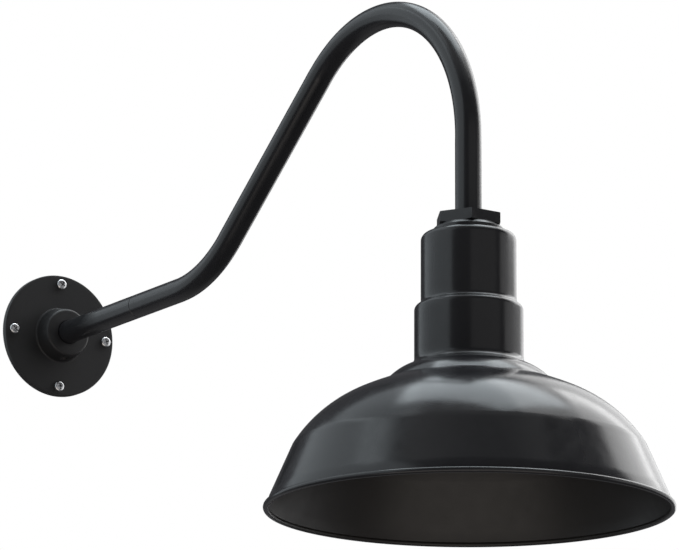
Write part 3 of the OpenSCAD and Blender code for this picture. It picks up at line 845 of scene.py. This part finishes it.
def machine_screw(r, h, length, width, turn, shank_r, reach, pitch):
    """Pan head of radius r and height h, on a thread that reaches below height 0."""
    rows = [[(0, 0, 0.3)], ring_row(shank_r - 0.3, 0.3), ring_row(shank_r - 0.3, -0.3)]
    rows += thread(shank_r - 0.35, shank_r, pitch, 0.5 - reach, -0.4, runout=0.5)[::-1]
    rows += [ring_row(shank_r - 0.6, -reach), [(0, 0, -reach)]]
    return joined(pan_head(r, h, length, width, turn), skin(rows))


def pair(build, places):
    """The same piece at two places, built by number so that it can differ."""
    return joined(*[moved(build(i), Matrix.Translation(p)) for i, p in enumerate(places)])


def terminal_screws():
    return pair(lambda i: machine_screw(3.6, 2.4, 4.2, 0.85, 0.4 + 0.7 * i, 1.7, 6, 0.8),
                [(0, -TERMINAL_AT, SOCKET_TOP), (0, TERMINAL_AT, SOCKET_TOP)])


def bracket_screws():
    return pair(lambda i: machine_screw(3.9, 2.6, 4.4, 0.95, 0.9 - 0.6 * i, 1.95, 9, 0.7),
                [(x, 0, SOCKET_TOP + STRAP_T) for x in (-STRAP_SCREW_AT, STRAP_SCREW_AT)])


def ground_screw():
    inwards = Matrix.Translation((28.5, 0, EARTH_SCREW_H)) @ Matrix.Rotation(-pi / 2, 4, "Y")
    return moved(machine_screw(4, 2.4, 4.6, 0.95, 0.6, 2.05, 5, 0.8), inwards)


piece("socket_strap", bracket(), HEAD, "arm", "steel", "socket_bracket")
piece("lamp_socket", socket(), HEAD, "arm", "porcelain", "socket_body")
piece("socket_shell", screw_shell(), HEAD, "arm", "brass", "screw_shell")
piece("centre_contact", spring(), HEAD, "arm", "brass", "contact_spring")
piece("terminal_screw_pair", terminal_screws(), HEAD, "arm", "brass", "terminal_screws")
piece("strap_screw_pair", bracket_screws(), HEAD, "arm", "steel", "bracket_screws")
piece("earth_screw", ground_screw(), HEAD, "arm", "green_screw", "ground_screw")

# ---------------------------------------------------------------- leads

def arm_line():
    """Centre line of the arm as (distance from the wall, height, slope)."""
    line = [(d, 0.0, 0.0) for d in (2, 30, 70, 110, 150, 190, 220)]
    for i in range(8):
        a = rise * i / 7
        line.append((ARM_RUN + BEND_R * sin(a), BEND_R * (1 - cos(a)), a))
    for i in range(1, 5):
        p = rise_start.lerp(rise_end, i / 5)
        line.append((p.x, p.y, rise))
    for i in range(21):
        a = rise - (pi / 2 + rise) * i / 20
        line.append((top_centre.x - BEND_R * sin(a), top_centre.y + BEND_R * cos(a), a))
    return line + [(REACH, z, -pi / 2) for z in (10, -20, -50, -68)]


def lead(across, over, tail):
    """Lead through the arm, off its centre line by across and over, then along its tail."""
    points = [(across, -d + over * sin(a), z + over * cos(a)) for d, z, a in arm_line()]
    points += [(x, y - REACH, z - RIM_DROP) for x, y, z in tail]
    path = stations(smooth_path(points, 4))
    radii = [1.45] * len(path)
    radii[0] = radii[-1] = 1.1
    return sweep(path, radii, 20)


piece("lead_live", lead(-2.2, -3.6, [(-2.2, 4.2, 217), (-1.8, 6.2, 211.6), (-1.2, 8.6, 207.6),
                                     (-0.6, 11.2, 206.2)]), ROW, "arm", "black_wire", "lead_black")
piece("lead_neutral", lead(-2.2, 3.6, [(-2.2, -4.2, 217), (-1.8, -6.2, 211.6),
                                       (-1.2, -8.6, 207.6), (-0.6, -11.2, 206.2)]),
      ROW, "arm", "white_wire", "lead_white")
piece("lead_earth", lead(4, 0, [(4.8, 0, 217), (7.4, 0, 213.4), (11.8, 0, 212),
                                (16.4, 0, 212.8), (20.6, 0, 215.2), (23.8, 0, 218.2)]),
      ROW, "arm", "green_wire", "lead_green")

# ---------------------------------------------------------------- bulb

def bulb_glass():
    """Ball, waist and neck of the bulb, with its wall."""
    neck, waist = BASE_R - 0.3, 40
    x = neck + waist
    lift = sqrt((BULB_R + waist) ** 2 - x * x)
    meet = degrees(atan2(lift, x))
    ball = (0, BULB_FOOT + BULB_R)

    def side(d):
        points = arc(ball, BULB_R - d, -90, meet, 48)
        points += arc((x, ball[1] + lift), waist + d, 180 + meet, 180, 20)[1:]
        return points + [(neck - d, GLASS_TOP)]

    outer, inner = side(0), side(0.8)
    return lathe(outer + inner[::-1], 128, loop=False)


def bulb_base():
    shell_top = BASE_TOP - 4
    shell = rolled(12.1, BASE_R, 0.3, LAMP_PITCH, BASE_FOOT, shell_top, 10)
    profile = [(9.8, shell_top), (11.2, shell_top)] + arc((9.2, BASE_TOP - 2.2), 2, 0, 60, 5)
    profile += [(8.6, BASE_TOP), (8.3, BASE_TOP - 0.3), (9.6, BASE_TOP - 1.2)]
    return joined(shell, lathe(profile, 72))


def filament():
    """Coiled wire hung between two support wires."""
    low, coil_r, half, turns, steps = BASE_FOOT - 36, 0.42, 9, 22, 14
    parts = []
    for side in (-1, 1):
        path = smooth_path([(side * 9.3, 0, low - 0.3), (side * 9.0, 0, low + 0.6),
                            (side * 5.2, 0, low + 7.3), (side * 1.75, 0, low + 13.7)], 8)
        parts.append(sweep(stations(path), [0.36] * len(path), 12))
    coil = []
    for i in range(turns * steps + 1):
        a = TAU * i / steps
        x = half * (2 * i / (turns * steps) - 1)
        coil.append((x, coil_r * cos(a), low + coil_r * sin(a)))
    parts.append(sweep(stations(coil), [0.14] * len(coil), 8))
    return joined(*parts)


piece("bulb_globe", bulb_glass(), HEAD, "bulb", "frosted_glass", "bulb_glass")
piece("bulb_cap", bulb_base(), HEAD, "bulb", "aluminium", "bulb_base")
piece("bulb_coil", filament(), HEAD, "bulb", "tungsten", "bulb_filament")

# Nodes whose CAD shape is right keep it, with a finish
for name, slot in (("arm_coupler", "steel"), ("shell_rivets", "brass"),
                   ("bulb_insulator", "black_glass"), ("bulb_contact", "solder"),
                   ("bulb_stem", "clear_glass")):
    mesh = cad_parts[name].data
    mesh.materials.clear()
    mesh.materials.append(LOOKS[slot])

# ---------------------------------------------------------------- studio

def camera():
    """At the photographed angle: a long lens, a little below the shade."""
    azimuth, elevation, roll = radians(-33.752), radians(-14.124), radians(0.314)
    target, distance = Vector((0.15093, -0.3, 0.02578)), 3.773
    back = Vector((sin(azimuth) * cos(elevation), -cos(azimuth) * cos(elevation), sin(elevation)))
    lens = bpy.data.cameras.new("camera")
    lens.sensor_fit, lens.sensor_width, lens.lens = "HORIZONTAL", 36, 201.34
    lens.clip_start, lens.clip_end = 0.1, 50
    obj = bpy.data.objects.new("camera", lens)
    scene.collection.objects.link(obj)
    turn = (-back).to_track_quat("-Z", "Y") @ Matrix.Rotation(roll, 3, "Z").to_quaternion()
    obj.matrix_world = Matrix.Translation(target + back * distance) @ turn.to_matrix().to_4x4()
    scene.camera = obj


def softbox(name, azimuth, elevation, wide, high, radiance, colour=(1, 1, 1)):
    """Soft rectangular lamp round the object, as wide and high as it looks from there.
    Azimuth 0 is at the camera and grows to the right. It isn't in the picture."""
    a, e, away = radians(azimuth - 33.8), radians(elevation), 3.5
    towards = Vector((sin(a) * cos(e), -cos(a) * cos(e), sin(e)))
    size = [2 * away * tan(radians(angle / 2)) for angle in (wide, high)]
    lamp = bpy.data.lights.new(name, "AREA")
    lamp.shape, lamp.size, lamp.size_y = "RECTANGLE", size[0], size[1]
    lamp.energy, lamp.color = radiance * pi * size[0] * size[1], colour
    obj = bpy.data.objects.new(name, lamp)
    scene.collection.objects.link(obj)
    turn = (-towards).to_track_quat("-Z", "Y").to_matrix().to_4x4()
    obj.matrix_world = Matrix.Translation(Vector((0, -0.5, -0.1)) + towards * away) @ turn
    obj.visible_camera = False


def lamps():
    cool, warm = (0.86, 0.95, 1), (1, 0.92, 0.84)
    softbox("key", 124, 34, 34, 34, 2.8)
    softbox("right_top", 112, 62, 46, 24, 1.5)
    softbox("right", 108, 0, 62, 40, 0.75)
    softbox("right_back", 150, 20, 28, 60, 1.6)
    softbox("left", -88, 0, 98, 34, 0.62, cool)
    softbox("left_high", -86, 34, 90, 36, 0.85, cool)
    softbox("left_top", -102, 60, 54, 28, 0.8, cool)
    softbox("back_top", 150, 78, 46, 38, 3.3, cool)
    softbox("front", 35, 5, 60, 40, 0.22)
    softbox("low", 0, -42, 84, 44, 0.7, warm)
    softbox("top_front", 8, 70, 64, 34, 0.26)
    softbox("low_back", -165, -35, 60, 34, 0.1)


def sky():
    """White behind the object, and a dim grey for the light and the reflections on it."""
    world = bpy.data.worlds.new("studio")
    scene.world = world
    world.use_nodes = True
    tree = world.node_tree
    dim = tree.nodes["Background"]
    dim.inputs["Color"].default_value = (0.085, 0.084, 0.09, 1)
    white = tree.nodes.new("ShaderNodeBackground")
    white.inputs["Color"].default_value = (1, 1, 1, 1)
    path, mix = tree.nodes.new("ShaderNodeLightPath"), tree.nodes.new("ShaderNodeMixShader")
    tree.links.new(path.outputs["Is Camera Ray"], mix.inputs[0])
    tree.links.new(dim.outputs[0], mix.inputs[1])
    tree.links.new(white.outputs[0], mix.inputs[2])
    tree.links.new(mix.outputs[0], tree.nodes["World Output"].inputs["Surface"])


def floor():
    """Far below the light, which hangs on a wall, so that it hides nothing from
    underneath. Its own glow keeps it pale, and doesn't reach the object."""
    grey, glow, half, drop = (0.8, 0.8, 0.8), 0.85, 60, 9
    grid = bmesh.new()
    bmesh.ops.create_grid(grid, x_segments=8, y_segments=8, size=half)
    mesh = bpy.data.meshes.new("floor")
    grid.to_mesh(mesh)
    grid.free()
    pale = Look("floor", grey, 0.7, Emission_Color=(*grey, 1), Emission_Strength=glow)
    pale.bump(pale.noise(30, 2), 0.1)
    mesh.materials.append(pale.done(400, 0.02, 200, 0.05))
    obj = bpy.data.objects.new("floor", mesh)
    obj.location = (0, -0.5, -drop)
    obj.visible_diffuse = obj.visible_glossy = obj.visible_transmission = False
    scene.collection.objects.link(obj)


camera()
lamps()
sky()
floor()
